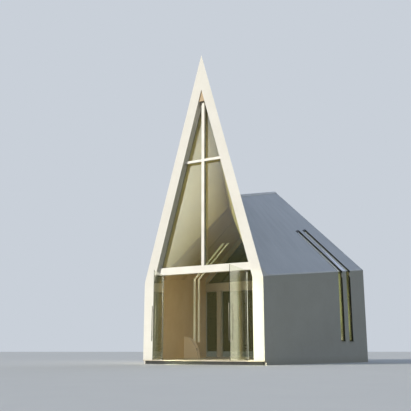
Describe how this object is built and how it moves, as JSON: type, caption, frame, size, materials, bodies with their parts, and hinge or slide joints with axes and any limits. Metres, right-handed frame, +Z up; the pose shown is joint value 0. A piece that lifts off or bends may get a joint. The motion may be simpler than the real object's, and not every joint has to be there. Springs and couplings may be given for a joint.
{
  "type": "modern chapel",
  "caption": "Small white chapel with a steep pointed front, a glazed cross, open glass doors and slot windows that fold over the eaves.",
  "frame": {"origin": "middle of the plan, at ground level, on the underside of the base", "axes": "+Z up, +X to the right seen from the front, +Y from the front towards the rear"},
  "size_m": [8.156, 9.2292, 11.8634],
  "materials": {
    "white_render": "smooth trowelled lime render",
    "roof_coating": "smooth white roof coating",
    "white_metal": "powder coated, satin",
    "dark_plinth": "rough dark mortar",
    "floor_stone": "honed pale stone slabs",
    "clear_glass": "toughened clear glass",
    "tinted_glass": "lightly tinted glass",
    "steel": "brushed",
    "pale_wood": "oiled pale boards"
  },
  "bodies": {
    "building": {"base_plinth": "dark_plinth", "floor_slab": "floor_stone", "front_leg_left": "white_render", "front_leg_right": "white_render", "spire_rake_left": "white_render", "spire_rake_right": "white_render", "front_beam": "white_metal", "front_cross": "white_metal", "upper_glass_left": "tinted_glass", "upper_glass_right": "tinted_glass", "sidelight_left": "clear_glass", "sidelight_right": "clear_glass", "left_wall": "white_render", "right_wall": "white_render", "left_roof": "roof_coating", "right_roof": "roof_coating", "spire_back_left": "white_render", "spire_back_right": "white_render", "ridge_cap": "white_metal", "left_slot_glass_front": "tinted_glass", "left_slot_glass_rear": "tinted_glass", "right_slot_glass_front": "tinted_glass", "right_slot_glass_rear": "tinted_glass", "rear_header": "white_metal", "rear_mullion": "white_metal", "rear_gable_glass_left": "tinted_glass", "rear_gable_glass_right": "tinted_glass", "side_bench": "pale_wood", "rear_post_1": "white_metal", "rear_post_2": "white_metal", "rear_post_3": "white_metal", "rear_post_4": "white_metal", "rear_pane_1": "clear_glass", "rear_pane_2": "clear_glass", "rear_pane_3": "clear_glass", "rear_pane_4": "clear_glass", "rear_pane_5": "clear_glass"},
    "door_left": {"door_left_glass": "clear_glass", "door_left_pull": "steel", "door_left_floor_pivot": "steel", "door_left_head_pivot": "steel"},
    "door_right": {"door_right_glass": "clear_glass", "door_right_pull": "steel", "door_right_floor_pivot": "steel", "door_right_head_pivot": "steel"}
  },
  "joints": [
    {"name": "door_left_hinge", "type": "hinge", "parent": "building", "child": "door_left", "pos_m": [-1.7, -3.67, 0.15], "axis": [0, 0, 1], "range_deg": [-35, 70]},
    {"name": "door_right_hinge", "type": "hinge", "parent": "building", "child": "door_right", "pos_m": [1.7, -3.67, 0.15], "axis": [0, 0, 1], "range_deg": [-95, 10]}
  ]
}
